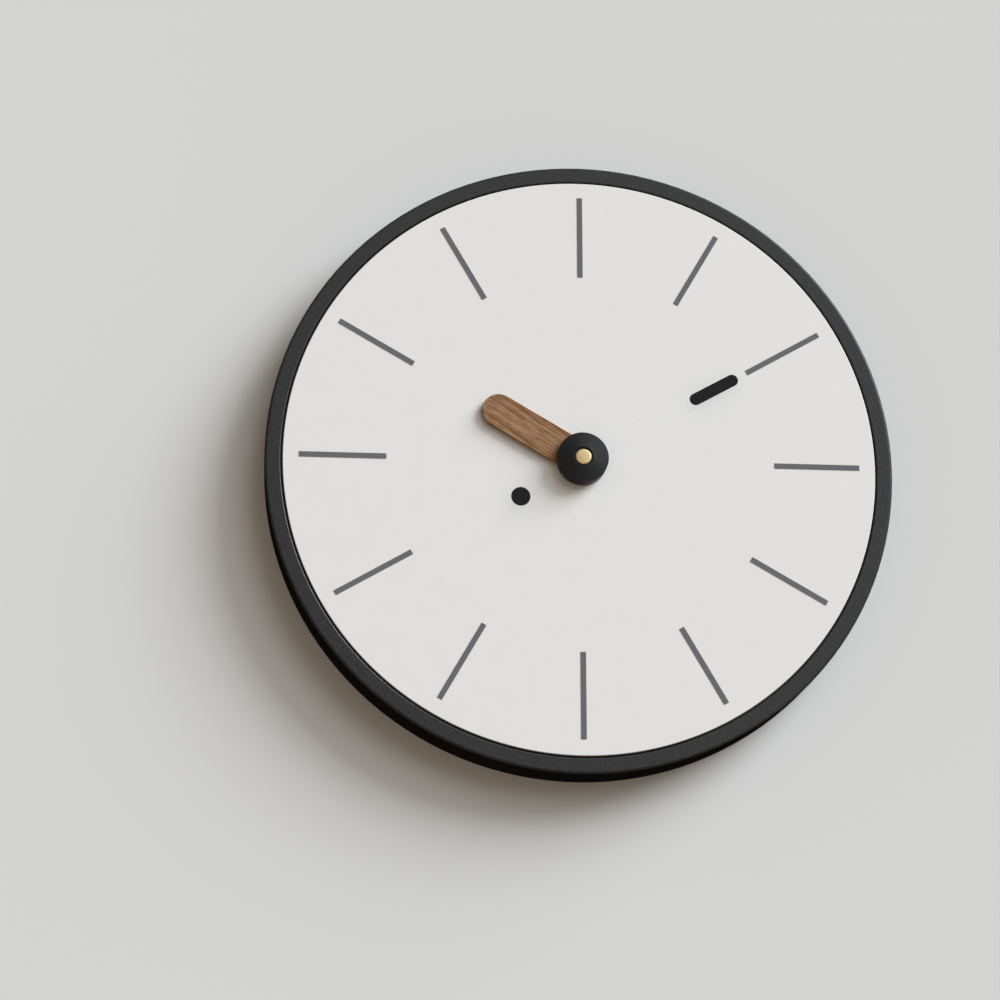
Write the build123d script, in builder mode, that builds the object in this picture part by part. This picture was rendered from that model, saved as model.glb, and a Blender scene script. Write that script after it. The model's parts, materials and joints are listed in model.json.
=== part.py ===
"""Quartz wall clock with a wooden hour hand, a floating minute bar and a floating second dot.

Millimetres, +Z up, the dial faces -Y and the wall is the plane Y = 0.
The origin is the middle of the hanger's keyhole, on the wall plane.
Sketches are drawn as seen from the front, about the axis of the hands.
"""

import os
from math import acos, cos, pi, radians, sin, tan

from build123d import *

# Frame ring and dial
FRAME_RADIUS = 175.0
FRAME_DEPTH = 27.0
FRAME_WALL = 2.0
FRAME_FACE = 8.8
FRAME_EDGE = 1.0
LEDGE_WIDTH = 9.0
RIB_COUNT = 8
RIB_THICKNESS = 1.6
RIB_FOOT = 6.0
DIAL_GAP = 1.2
DIAL_PROUD = 0.3
DIAL_THICKNESS = 3.0
MARK_COUNT = 12
MARK_MARGIN = 8.9
MARK_LENGTH = 48.0
MARK_WIDTH = 3.0
MARK_THICKNESS = 0.2

# Movement case and what clamps it to the dial
MOVEMENT_DEPTH = 15.4
MOVEMENT_CORNER = 3.0
CASE_WALL = 1.0
ROOM_RISE = 27.0
WHEEL_ROOM = 2.05
CASE_SPLIT_DEPTH = 7.0
GASKET_THICKNESS = 0.6
GASKET_RADIUS = 10.0
BUSHING_RADIUS = 3.9
BUSHING_PROUD = 2.6
BUSHING_FLANGE = 1.3
BUSHING_FLANGE_THICKNESS = 0.3
BUSHING_CLEARANCE = 0.2
WASHER_RADIUS = 7.0
WASHER_THICKNESS = 0.4
NUT_FLATS = 11.0
NUT_THICKNESS = 1.8

# Hanger: bent steel sheet with a keyhole
HANGER_SHEET = 1.0
HANGER_WIDTH = 26.0
HANGER_FOOT = 13.0
HANGER_GAP = 0.3
HANGER_BEND = 1.0
HANGER_TOP = 17.0
KEYHOLE_MARGIN = 10.7
KEYHOLE_RADIUS = 4.5
KEYHOLE_SLOT_WIDTH = 4.4
KEYHOLE_SLOT_RISE = 8.0

# Battery and its contacts
BATTERY_RADIUS = 7.1
BATTERY_LENGTH = 50.0
BATTERY_NUB_RADIUS = 2.6
BATTERY_NUB = 1.2
BATTERY_PLAY = 0.2
CONTACT_SHEET = 0.3
CONTACT_HEIGHT = 10.0
CONTACT_DEPTH = 8.0
CONTACT_ROOM = 2.0

# Pipes and spindle of the three hands
RUNNING_FIT = 0.08
SPINDLE_RADIUS = 0.5
MINUTE_PIPE_RADIUS = 1.4
HOUR_PIPE_RADIUS = 2.5

# Gear train: teeth, modules and the directions from one arbor to the next, in degrees
ADDENDUM = 0.7
DEDENDUM = 1.0
TOOTH_SHARE = 0.4
PRESSURE_ANGLE = 20.0
TIER_START = 0.5
TIER_PITCH = 1.6
WHEEL_THICKNESS = 0.9
PINION_MARGIN = 0.2
MOTION_MODULE = 0.5
MINUTE_PINION_TEETH = 8
MOTION_WHEEL_TEETH = 24
MOTION_PINION_TEETH = 6
HOUR_WHEEL_TEETH = 24
SETTING_TEETH = 8
THIRD_MODULE = 0.4
SECOND_PINION_TEETH = 6
THIRD_WHEEL_TEETH = 45
THIRD_PINION_TEETH = 6
CENTRE_WHEEL_TEETH = 48
SECOND_MODULE = 0.58
SECOND_WHEEL_TEETH = 30
INTERMEDIATE_PINION_TEETH = 6
ROTOR_MODULE = 0.4
INTERMEDIATE_WHEEL_TEETH = 36
ROTOR_PINION_TEETH = 6
MOTION_DIRECTION = 10.0
SETTING_DIRECTION = 10.0
THIRD_DIRECTION = 75.0
INTERMEDIATE_DIRECTION = 165.0
ROTOR_DIRECTION = 110.0
ARBOR_RADIUS = 0.5
BOSS_SIZE = 2.8
BOSS_GAP = 0.3
PIVOT_DEPTH = 1.2
MOTION_POST_RADIUS = 0.6
CLUTCH_SLEEVE_RADIUS = 1.0

# Setting knob
KNOB_RADIUS = 6.0
KNOB_THICKNESS = 2.2
KNOB_FLUTES = 8
KNOB_FLUTE_SIZE = 1.4
KNOB_SHAFT_RADIUS = 1.4
KNOB_GAP = 0.6
WELL_DEPTH = 3.2

# Stepping motor and circuit
MAGNET_RADIUS = 3.4
MAGNET_THICKNESS = 1.8
MAGNET_AIR_GAP = 0.5
STATOR_SHEET = 1.4
STATOR_DISC_RADIUS = 6.2
STATOR_LEG_WIDTH = 3.0
STATOR_REACH = 17.0
STATOR_POST_SIZE = 2.4
COIL_GAP = 2.6
BOBBIN_WALL = 0.5
BOBBIN_FLANGE_SIZE = 5.6
BOBBIN_FLANGE = 0.8
CORE_WIDTH = 2.4
WINDING_BUILD = 0.7
WINDING_CORNER = 0.8
BOARD_WIDTH = 14.0
BOARD_HEIGHT = 11.0
BOARD_THICKNESS = 0.8
BOARD_STANDOFF = 1.0
BOARD_GAP = 2.5
CHIP_SIZE = 4.6
CHIP_HEIGHT = 0.8
CHIP_DRAFT = 12.0
CRYSTAL_RADIUS = 1.0
CRYSTAL_LENGTH = 6.0

# Hands, as heights above the dial and angles clockwise from twelve
HOUR_ANGLE = 300.4
MINUTE_ANGLE = 60.65
SECOND_ANGLE = 236.1
HUB_RADIUS = 14.2
HUB_CLEARANCE = 0.4
HUB_FLOOR = 0.3
HUB_LID = 1.8
HUB_RECESS_RADIUS = 8.5
HUB_RECESS_GAP = 0.4
HOUR_HAND_LENGTH = 63.0
HOUR_HAND_WIDTH = 18.9
HOUR_HAND_THICKNESS = 2.8
HOUR_HAND_START = 9.4
HOUR_HAND_EDGE = 0.3
HAND_GAP = 0.3
ARM_THICKNESS = 0.6
ARM_DISC_RADIUS = 5.0
MINUTE_BAR_CENTRE = 84.7
MINUTE_BAR_LENGTH = 30.6
MINUTE_BAR_WIDTH = 6.8
MINUTE_ARM_EDGE = 1.2
INK_THICKNESS = 0.15
SECOND_DOT_CENTRE = 41.7
SECOND_DOT_RADIUS = 5.3
SECOND_ARM_WIDTH = 6.0
SECOND_ARM_EDGE = 0.8
ARM_CHANNEL_GAP = 0.1
CAP_RIM = 0.6
CAP_DOME = 1.0
CAP_RECESS_RADIUS = 5.5
CAP_RECESS_DEPTH = 0.8
CAP_PIN_RADIUS = 4.35
CAP_PIN_HEIGHT = 0.9
CAP_PIN_EDGE = 0.4
COLLET_RADIUS = 1.1
COLLET_REACH = 0.6

# Distances from the wall, built up from the front of the frame
DIAL_FRONT = FRAME_DEPTH + DIAL_PROUD
DIAL_BACK = DIAL_FRONT - DIAL_THICKNESS
LEDGE_BACK = DIAL_BACK - FRAME_WALL
HANGER_FRONT = DIAL_BACK - GASKET_THICKNESS
MOVEMENT_FRONT = HANGER_FRONT - HANGER_SHEET
MOVEMENT_BACK = MOVEMENT_FRONT - MOVEMENT_DEPTH
CASE_SPLIT = MOVEMENT_FRONT - CASE_SPLIT_DEPTH
TRAIN_FRONT = MOVEMENT_FRONT - CASE_WALL
TRAIN_BACK = MOVEMENT_BACK + CASE_WALL
WELL_FLOOR = MOVEMENT_BACK + WELL_DEPTH

# Heights of the hands, from the wall
BUSHING_FRONT = DIAL_FRONT + BUSHING_PROUD
HUB_BACK = DIAL_FRONT + HUB_CLEARANCE
HOUR_HAND_BACK = HUB_BACK + HUB_FLOOR
HUB_FRONT = HOUR_HAND_BACK + HOUR_HAND_THICKNESS + HUB_LID
HUB_RECESS_FRONT = BUSHING_FRONT + HUB_RECESS_GAP
MINUTE_BACK = HUB_FRONT + HAND_GAP
MINUTE_FRONT = MINUTE_BACK + ARM_THICKNESS
SECOND_BACK = MINUTE_FRONT + INK_THICKNESS + HAND_GAP
SECOND_FRONT = SECOND_BACK + ARM_THICKNESS
CAP_SHOULDER = SECOND_FRONT + CAP_RIM
CAP_TOP = CAP_SHOULDER + CAP_DOME
PIN_SEAT = CAP_TOP - CAP_RECESS_DEPTH
COLLET_FRONT = SECOND_FRONT + COLLET_REACH

# Fitted radii
FRAME_BORE = FRAME_RADIUS - FRAME_FACE
DIAL_RADIUS = FRAME_BORE - DIAL_GAP
MARK_OUTER = DIAL_RADIUS - MARK_MARGIN
CLAMP_HOLE = BUSHING_RADIUS + BUSHING_CLEARANCE
MINUTE_PIPE_BORE = SPINDLE_RADIUS + RUNNING_FIT
HOUR_PIPE_BORE = MINUTE_PIPE_RADIUS + RUNNING_FIT
BUSHING_BORE = HOUR_PIPE_RADIUS + RUNNING_FIT
KNOB_SHAFT_BORE = KNOB_SHAFT_RADIUS + RUNNING_FIT
PIVOT_BORE = ARBOR_RADIUS + RUNNING_FIT
WELL_RADIUS = KNOB_RADIUS + KNOB_GAP
ARM_WIDTH = MINUTE_BAR_WIDTH + 2 * MINUTE_ARM_EDGE

# Distances between the arbors, and the modules of the second gear of each pair
MOTION_DISTANCE = MOTION_MODULE * (MINUTE_PINION_TEETH + MOTION_WHEEL_TEETH) / 2
HOUR_MODULE = 2 * MOTION_DISTANCE / (MOTION_PINION_TEETH + HOUR_WHEEL_TEETH)
SETTING_DISTANCE = MOTION_MODULE * (MOTION_WHEEL_TEETH + SETTING_TEETH) / 2
THIRD_DISTANCE = THIRD_MODULE * (SECOND_PINION_TEETH + THIRD_WHEEL_TEETH) / 2
CENTRE_MODULE = 2 * THIRD_DISTANCE / (THIRD_PINION_TEETH + CENTRE_WHEEL_TEETH)
INTERMEDIATE_DISTANCE = SECOND_MODULE * (SECOND_WHEEL_TEETH + INTERMEDIATE_PINION_TEETH) / 2
ROTOR_DISTANCE = ROTOR_MODULE * (INTERMEDIATE_WHEEL_TEETH + ROTOR_PINION_TEETH) / 2

# Movement case, from the middle of the hands: gear compartment above, battery trough below
WHEEL_TIP = CENTRE_MODULE * (CENTRE_WHEEL_TEETH / 2 + ADDENDUM)
ROOM_BOTTOM = -WHEEL_TIP - WHEEL_ROOM
TROUGH_TOP = ROOM_BOTTOM - CASE_WALL
BATTERY_RISE = TROUGH_TOP - BATTERY_PLAY - BATTERY_RADIUS
TROUGH_BOTTOM = BATTERY_RISE - BATTERY_RADIUS - BATTERY_PLAY
BATTERY_AXIS = TRAIN_FRONT - BATTERY_PLAY - BATTERY_RADIUS
HALF_ROOM = BATTERY_LENGTH / 2 + CONTACT_ROOM
HALF_CASE = HALF_ROOM + CASE_WALL
CASE_TOP = ROOM_RISE + CASE_WALL
CASE_BOTTOM = TROUGH_BOTTOM - CASE_WALL
CASE_MIDDLE = (0, (CASE_TOP + CASE_BOTTOM) / 2)
COIL_RISE = ROOM_RISE - COIL_GAP - BOBBIN_FLANGE_SIZE / 2
BOARD_AT = (HALF_ROOM - BOARD_GAP - BOARD_WIDTH / 2, ROOM_RISE - BOARD_GAP - BOARD_HEIGHT / 2)
SHELF_RISE = CASE_TOP + HANGER_BEND + HANGER_GAP
KEYHOLE_RISE = SHELF_RISE + HANGER_SHEET + KEYHOLE_MARGIN

AXIS_Z = -KEYHOLE_RISE
HANDS_AXIS = Axis((0, 0, AXIS_Z), (0, -1, 0))
LOW = (Align.CENTER, Align.MIN)
HIGH = (Align.CENTER, Align.MAX)
INNER = (Align.MIN, Align.CENTER)


def front_plane(out):
    """Plane parallel to the dial, a distance out from the wall, centred on the hands."""
    return Plane(origin=(0, -out, AXIS_Z), x_dir=(1, 0, 0), z_dir=(0, -1, 0))


def hand_plane(angle, out):
    """The same plane turned so that its x runs along a hand."""
    along = (sin(radians(angle)), 0, cos(radians(angle)))
    return Plane(origin=(0, -out, AXIS_Z), x_dir=along, z_dir=(0, -1, 0))


def section_plane(angle):
    """Plane through the axis of the hands: x is the radius, y the distance from the wall."""
    along = (cos(radians(angle)), 0, sin(radians(angle)))
    across = (sin(radians(angle)), 0, -cos(radians(angle)))
    return Plane(origin=(0, 0, AXIS_Z), x_dir=along, z_dir=across)


def train_plane(depth):
    """Plane a depth behind the inside of the movement's front wall."""
    return front_plane(TRAIN_FRONT - depth)


def tier(number):
    """Depth of the back of the wheel in one tier of the train."""
    return TIER_START + number * TIER_PITCH + WHEEL_THICKNESS


def from_point(start, direction, distance):
    """Point at a distance from another in a direction given in degrees."""
    turn = radians(direction)
    return (start[0] + distance * cos(turn), start[1] + distance * sin(turn))


def meshing_phase(phase, teeth, direction, other_teeth):
    """Angle of a tooth of the gear that meshes with a first one, in the given direction."""
    share = (direction - phase) * teeth / 360 % 1
    return direction + 180 - (0.5 - share) * 360 / other_teeth


def gear_face(teeth, module, phase):
    """Face of a spur gear with one tooth at the phase; small gears have bent flanks."""
    pitch = teeth * module / 2
    base = pitch * cos(radians(PRESSURE_ANGLE))
    tip = pitch + ADDENDUM * module
    root = pitch - DEDENDUM * module
    flank = [root, tip]
    if base > root and teeth < 20:
        flank = [root, base, tip]
    at_pitch = TOOTH_SHARE * pi / teeth + tan(radians(PRESSURE_ANGLE)) - radians(PRESSURE_ANGLE)
    corners = []
    for number in range(teeth):
        middle = radians(phase) + 2 * pi * number / teeth
        rise = []
        fall = []
        for radius in flank:
            lean = acos(base / max(radius, base))
            half = at_pitch - tan(lean) + lean
            rise.append((radius * cos(middle - half), radius * sin(middle - half)))
            fall.insert(0, (radius * cos(middle + half), radius * sin(middle + half)))
        corners += rise + fall
    with BuildSketch() as outline:
        with BuildLine():
            Polyline(*corners, close=True)
        make_face()
    return outline.sketch


def save(name, builder):
    """Writes one piece to its own file."""
    export_step(builder.part, "parts/" + name + ".step")


os.makedirs("parts", exist_ok=True)

# Arbors of the train, seen from the front, and the phase of each gear
CENTRE_AT = (0.0, 0.0)
MOTION_AT = from_point(CENTRE_AT, MOTION_DIRECTION, MOTION_DISTANCE)
SETTING_AT = from_point(MOTION_AT, SETTING_DIRECTION, SETTING_DISTANCE)
THIRD_AT = from_point(CENTRE_AT, THIRD_DIRECTION, THIRD_DISTANCE)
INTERMEDIATE_AT = from_point(CENTRE_AT, INTERMEDIATE_DIRECTION, INTERMEDIATE_DISTANCE)
ROTOR_AT = from_point(INTERMEDIATE_AT, ROTOR_DIRECTION, ROTOR_DISTANCE)
MOTION_WHEEL_PHASE = meshing_phase(
    MOTION_DIRECTION, MINUTE_PINION_TEETH, MOTION_DIRECTION, MOTION_WHEEL_TEETH
)
SETTING_PHASE = meshing_phase(
    MOTION_WHEEL_PHASE, MOTION_WHEEL_TEETH, SETTING_DIRECTION, SETTING_TEETH
)
HOUR_WHEEL_PHASE = meshing_phase(
    MOTION_DIRECTION + 180, MOTION_PINION_TEETH, MOTION_DIRECTION + 180, HOUR_WHEEL_TEETH
)
THIRD_WHEEL_PHASE = meshing_phase(
    THIRD_DIRECTION, SECOND_PINION_TEETH, THIRD_DIRECTION, THIRD_WHEEL_TEETH
)
CENTRE_WHEEL_PHASE = meshing_phase(
    THIRD_DIRECTION + 180, THIRD_PINION_TEETH, THIRD_DIRECTION + 180, CENTRE_WHEEL_TEETH
)
SECOND_WHEEL_PHASE = meshing_phase(
    INTERMEDIATE_DIRECTION + 180, INTERMEDIATE_PINION_TEETH,
    INTERMEDIATE_DIRECTION + 180, SECOND_WHEEL_TEETH,
)
INTERMEDIATE_WHEEL_PHASE = meshing_phase(
    ROTOR_DIRECTION + 180, ROTOR_PINION_TEETH, ROTOR_DIRECTION + 180, INTERMEDIATE_WHEEL_TEETH
)
PINION_THICKNESS = WHEEL_THICKNESS + 2 * PINION_MARGIN

# Depths in the train where bosses end, from the inside of the front wall
THIRD_FRONT_BOSS = tier(2) - WHEEL_THICKNESS - PINION_MARGIN - BOSS_GAP
ROTOR_FRONT_BOSS = tier(5) - WHEEL_THICKNESS - PINION_MARGIN - BOSS_GAP
SETTING_FRONT_BOSS = tier(1) - WHEEL_THICKNESS - PINION_MARGIN - BOSS_GAP
MOTION_POST_END = tier(1) + PINION_MARGIN
TRAIN_BACK_BOSS = tier(4) + PINION_MARGIN + BOSS_GAP
INTERMEDIATE_BACK_BOSS = tier(5) + PINION_MARGIN + BOSS_GAP
STATOR_DEPTH = tier(5) + PINION_MARGIN + BOSS_GAP + STATOR_SHEET
MAGNET_BACK = STATOR_DEPTH + (MAGNET_THICKNESS - STATOR_SHEET) / 2
ROTOR_BACK_BOSS = MAGNET_BACK + BOSS_GAP
ROOM_DEPTH = TRAIN_FRONT - TRAIN_BACK

# Legs of the stator, either side of the rotor
STATOR_LEFT = ROTOR_AT[0] - STATOR_REACH / 2
STATOR_RIGHT = ROTOR_AT[0] + STATOR_REACH / 2
STATOR_TOP = COIL_RISE + STATOR_LEG_WIDTH / 2

# Frame ring: moulded section with a flat front, an inner wall and the ledge for the dial;
# the ribs run into the middle of the walls that they join
RIB_ROOT = FRAME_WALL / 2
with BuildPart() as frame_ring:
    with BuildSketch(section_plane(0)):
        with BuildLine():
            Polyline(
                (FRAME_RADIUS, 0),
                (FRAME_RADIUS, FRAME_DEPTH - FRAME_EDGE),
                (FRAME_RADIUS - FRAME_EDGE, FRAME_DEPTH),
                (FRAME_BORE, FRAME_DEPTH),
                (FRAME_BORE, DIAL_BACK),
                (FRAME_BORE - LEDGE_WIDTH, DIAL_BACK),
                (FRAME_BORE - LEDGE_WIDTH, LEDGE_BACK),
                (FRAME_BORE + FRAME_WALL, LEDGE_BACK),
                (FRAME_BORE + FRAME_WALL, FRAME_DEPTH - FRAME_WALL),
                (FRAME_RADIUS - FRAME_WALL, FRAME_DEPTH - FRAME_WALL),
                (FRAME_RADIUS - FRAME_WALL, 0),
                close=True,
            )
        make_face()
    revolve(axis=HANDS_AXIS)
    for number in range(RIB_COUNT):
        with BuildSketch(section_plane((number + 0.5) * 360 / RIB_COUNT)):
            with BuildLine():
                Polyline(
                    (FRAME_RADIUS - RIB_ROOT, RIB_FOOT),
                    (FRAME_RADIUS - RIB_ROOT, FRAME_DEPTH - RIB_ROOT),
                    (FRAME_BORE + RIB_ROOT, FRAME_DEPTH - RIB_ROOT),
                    (FRAME_BORE + RIB_ROOT, LEDGE_BACK + RIB_ROOT),
                    (FRAME_BORE - LEDGE_WIDTH / 2, LEDGE_BACK + RIB_ROOT),
                    close=True,
                )
            make_face()
        extrude(amount=RIB_THICKNESS / 2, both=True)
save("frame_ring", frame_ring)

# Dial plate: disc that rests on the ledge
with BuildPart() as dial_plate:
    with BuildSketch(front_plane(DIAL_BACK)):
        Circle(DIAL_RADIUS)
        Circle(CLAMP_HOLE, mode=Mode.SUBTRACT)
    extrude(amount=DIAL_THICKNESS)
save("dial_plate", dial_plate)

# Hour marks: raised print on the dial
with BuildPart() as hour_marks:
    with BuildSketch(front_plane(DIAL_FRONT)):
        with PolarLocations(MARK_OUTER - MARK_LENGTH / 2, MARK_COUNT):
            Rectangle(MARK_LENGTH, MARK_WIDTH)
    extrude(amount=MARK_THICKNESS)
save("hour_marks", hour_marks)

# Dial gasket: rubber ring between the dial and the hanger
with BuildPart() as dial_gasket:
    with BuildSketch(front_plane(HANGER_FRONT)):
        Circle(GASKET_RADIUS)
        Circle(CLAMP_HOLE, mode=Mode.SUBTRACT)
    extrude(amount=GASKET_THICKNESS)
save("dial_gasket", dial_gasket)

# Hanger plate: foot clamped by the bushing, shelf over the movement, tab at the wall
with BuildPart() as hanger_plate:
    side = Plane(origin=(0, 0, AXIS_Z), x_dir=(0, -1, 0), z_dir=(-1, 0, 0))
    with BuildSketch(side):
        with BuildLine():
            FilletPolyline(
                (MOVEMENT_FRONT, -HANGER_FOOT),
                (MOVEMENT_FRONT, SHELF_RISE),
                (0, SHELF_RISE),
                (0, KEYHOLE_RISE + HANGER_TOP),
                radius=HANGER_BEND,
            )
            offset(amount=HANGER_SHEET, side=Side.RIGHT)
        make_face()
    extrude(amount=HANGER_WIDTH / 2, both=True)
    with BuildSketch(front_plane(MOVEMENT_FRONT)):
        Circle(CLAMP_HOLE)
    extrude(amount=HANGER_SHEET, mode=Mode.SUBTRACT)
    with BuildSketch(front_plane(0)):
        with Locations((0, KEYHOLE_RISE)):
            Circle(KEYHOLE_RADIUS)
            Rectangle(KEYHOLE_SLOT_WIDTH, KEYHOLE_SLOT_RISE, align=LOW)
        with Locations((0, KEYHOLE_RISE + KEYHOLE_SLOT_RISE)):
            Circle(KEYHOLE_SLOT_WIDTH / 2)
    extrude(amount=HANGER_SHEET, mode=Mode.SUBTRACT)
    tab_corners = hanger_plate.edges().filter_by(Axis.Y).group_by(Axis.Z)[-1]
    foot_corners = hanger_plate.edges().filter_by(Axis.Y).group_by(Axis.Z)[0]
    chamfer(tab_corners + foot_corners, HANGER_WIDTH / 6)
save("hanger_plate", hanger_plate)

# Movement front case: tray with the battery trough and the front bearings
with BuildPart() as movement_front_case:
    with BuildSketch(front_plane(CASE_SPLIT)):
        with Locations(CASE_MIDDLE):
            RectangleRounded(2 * HALF_CASE, CASE_TOP - CASE_BOTTOM, MOVEMENT_CORNER)
    extrude(amount=CASE_SPLIT_DEPTH)
    with BuildSketch(front_plane(MOVEMENT_BACK)) as trough_outline:
        with Locations((0, CASE_BOTTOM)):
            Rectangle(2 * HALF_CASE, ROOM_BOTTOM - CASE_BOTTOM, align=LOW)
        fillet(trough_outline.vertices().group_by(Axis.Y)[0], MOVEMENT_CORNER)
    extrude(amount=CASE_SPLIT - MOVEMENT_BACK)
    with BuildSketch(front_plane(CASE_SPLIT)):
        with Locations((0, ROOM_BOTTOM)):
            Rectangle(2 * HALF_ROOM, ROOM_RISE - ROOM_BOTTOM, align=LOW)
    extrude(amount=TRAIN_FRONT - CASE_SPLIT, mode=Mode.SUBTRACT)
    with BuildSketch(front_plane(MOVEMENT_BACK)):
        with Locations((0, TROUGH_TOP)):
            Rectangle(2 * HALF_ROOM, TROUGH_TOP - TROUGH_BOTTOM, align=HIGH)
    extrude(amount=TRAIN_FRONT - MOVEMENT_BACK, mode=Mode.SUBTRACT)
    for place, depth in (
        (THIRD_AT, THIRD_FRONT_BOSS),
        (INTERMEDIATE_AT, THIRD_FRONT_BOSS),
        (ROTOR_AT, ROTOR_FRONT_BOSS),
        (SETTING_AT, SETTING_FRONT_BOSS),
    ):
        with BuildSketch(train_plane(depth)):
            with Locations(place):
                Rectangle(BOSS_SIZE, BOSS_SIZE)
        extrude(amount=depth)
        with BuildSketch(train_plane(depth)):
            with Locations(place):
                Circle(PIVOT_BORE)
        extrude(amount=PIVOT_DEPTH + BOSS_GAP, mode=Mode.SUBTRACT)
    with BuildSketch(train_plane(MOTION_POST_END)):
        with Locations(MOTION_AT):
            Circle(MOTION_POST_RADIUS)
    extrude(amount=MOTION_POST_END)
    with BuildSketch(front_plane(TRAIN_FRONT)):
        Circle(BUSHING_RADIUS)
    extrude(amount=CASE_WALL, mode=Mode.SUBTRACT)
save("movement_front_case", movement_front_case)

# Movement rear case: cover of the gear compartment, with the knob's well and rear bearings
with BuildPart() as movement_rear_case:
    with BuildSketch(front_plane(MOVEMENT_BACK)) as cover_outline:
        with Locations((0, ROOM_BOTTOM)):
            Rectangle(2 * HALF_CASE, CASE_TOP - ROOM_BOTTOM, align=LOW)
        fillet(cover_outline.vertices().group_by(Axis.Y)[-1], MOVEMENT_CORNER)
    extrude(amount=CASE_SPLIT - MOVEMENT_BACK)
    with BuildSketch(front_plane(TRAIN_BACK)):
        with Locations((0, ROOM_BOTTOM + CASE_WALL)):
            Rectangle(2 * HALF_ROOM, ROOM_RISE - ROOM_BOTTOM - CASE_WALL, align=LOW)
    extrude(amount=CASE_SPLIT - TRAIN_BACK, mode=Mode.SUBTRACT)
    with BuildSketch(front_plane(MOVEMENT_BACK)):
        with Locations(SETTING_AT):
            Circle(WELL_RADIUS + CASE_WALL)
    extrude(amount=WELL_DEPTH + CASE_WALL)
    with BuildSketch(front_plane(MOVEMENT_BACK)):
        with Locations(SETTING_AT):
            Circle(WELL_RADIUS)
    extrude(amount=WELL_DEPTH, mode=Mode.SUBTRACT)
    with BuildSketch(front_plane(WELL_FLOOR)):
        with Locations(SETTING_AT):
            Circle(KNOB_SHAFT_BORE)
    extrude(amount=CASE_WALL, mode=Mode.SUBTRACT)
    for place, depth in (
        (CENTRE_AT, TRAIN_BACK_BOSS),
        (THIRD_AT, TRAIN_BACK_BOSS),
        (INTERMEDIATE_AT, INTERMEDIATE_BACK_BOSS),
        (ROTOR_AT, ROTOR_BACK_BOSS),
    ):
        with BuildSketch(front_plane(TRAIN_BACK)):
            with Locations(place):
                Rectangle(BOSS_SIZE, BOSS_SIZE)
        extrude(amount=ROOM_DEPTH - depth)
        with BuildSketch(train_plane(depth)):
            with Locations(place):
                Circle(PIVOT_BORE)
        extrude(amount=-PIVOT_DEPTH - BOSS_GAP, mode=Mode.SUBTRACT)
    with BuildSketch(front_plane(TRAIN_BACK)):
        with Locations((STATOR_LEFT, COIL_RISE), (STATOR_RIGHT, COIL_RISE)):
            Rectangle(STATOR_POST_SIZE, STATOR_POST_SIZE)
    extrude(amount=ROOM_DEPTH - STATOR_DEPTH)
    with BuildSketch(front_plane(TRAIN_BACK)):
        with Locations(BOARD_AT):
            with GridLocations(BOARD_WIDTH - BOSS_SIZE, 0, 2, 1):
                Rectangle(BOSS_SIZE, BOARD_HEIGHT - BOSS_SIZE)
    extrude(amount=BOARD_STANDOFF)
save("movement_rear_case", movement_rear_case)

# Threaded bushing, with its washer and hexagon nut in front of the dial
with BuildPart() as threaded_bushing:
    with BuildSketch(front_plane(TRAIN_FRONT - BUSHING_FLANGE_THICKNESS)):
        Circle(BUSHING_RADIUS + BUSHING_FLANGE)
    extrude(amount=BUSHING_FLANGE_THICKNESS)
    with BuildSketch(front_plane(TRAIN_FRONT)):
        Circle(BUSHING_RADIUS)
    extrude(amount=BUSHING_FRONT - TRAIN_FRONT)
    with BuildSketch(front_plane(TRAIN_FRONT - BUSHING_FLANGE_THICKNESS)):
        Circle(BUSHING_BORE)
    extrude(amount=BUSHING_FRONT - TRAIN_FRONT + BUSHING_FLANGE_THICKNESS, mode=Mode.SUBTRACT)
save("threaded_bushing", threaded_bushing)

with BuildPart() as bushing_washer:
    with BuildSketch(front_plane(DIAL_FRONT)):
        Circle(WASHER_RADIUS)
        Circle(CLAMP_HOLE, mode=Mode.SUBTRACT)
    extrude(amount=WASHER_THICKNESS)
save("bushing_washer", bushing_washer)

with BuildPart() as bushing_nut:
    with BuildSketch(front_plane(DIAL_FRONT + WASHER_THICKNESS)):
        RegularPolygon(NUT_FLATS / 2, 6, major_radius=False)
        Circle(BUSHING_RADIUS, mode=Mode.SUBTRACT)
    extrude(amount=NUT_THICKNESS)
save("bushing_nut", bushing_nut)

# Stepping motor: stator plate round the rotor, core bar and coil
with BuildPart() as stator:
    with BuildSketch(train_plane(STATOR_DEPTH)):
        with Locations(ROTOR_AT):
            Circle(STATOR_DISC_RADIUS)
            Rectangle(STATOR_REACH + STATOR_LEG_WIDTH, STATOR_LEG_WIDTH)
        with Locations((STATOR_LEFT, STATOR_TOP), (STATOR_RIGHT, STATOR_TOP)):
            Rectangle(STATOR_LEG_WIDTH, STATOR_TOP - ROTOR_AT[1], align=HIGH)
        with Locations(ROTOR_AT):
            Circle(MAGNET_RADIUS + MAGNET_AIR_GAP, mode=Mode.SUBTRACT)
    extrude(amount=STATOR_SHEET)
save("stator", stator)

CORE_BACK = STATOR_DEPTH - STATOR_SHEET
TUBE_DEPTH = STATOR_SHEET + 2 * BOBBIN_WALL
TUBE_HEIGHT = CORE_WIDTH + 2 * BOBBIN_WALL
CORE_LENGTH = STATOR_REACH + STATOR_LEG_WIDTH
COIL_LENGTH = STATOR_REACH - STATOR_LEG_WIDTH - 2 * BOSS_GAP
COIL_MIDDLE = ROTOR_AT[0]
COIL_AXIS_OUT = TRAIN_FRONT - CORE_BACK + STATOR_SHEET / 2
COIL_PLANE = Plane(
    origin=(COIL_MIDDLE, -COIL_AXIS_OUT, AXIS_Z + COIL_RISE), x_dir=(0, 1, 0), z_dir=(1, 0, 0)
)
with BuildPart() as coil_core:
    with BuildSketch(train_plane(CORE_BACK)):
        with Locations((COIL_MIDDLE, COIL_RISE)):
            Rectangle(CORE_LENGTH, CORE_WIDTH)
    extrude(amount=STATOR_SHEET)
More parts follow.
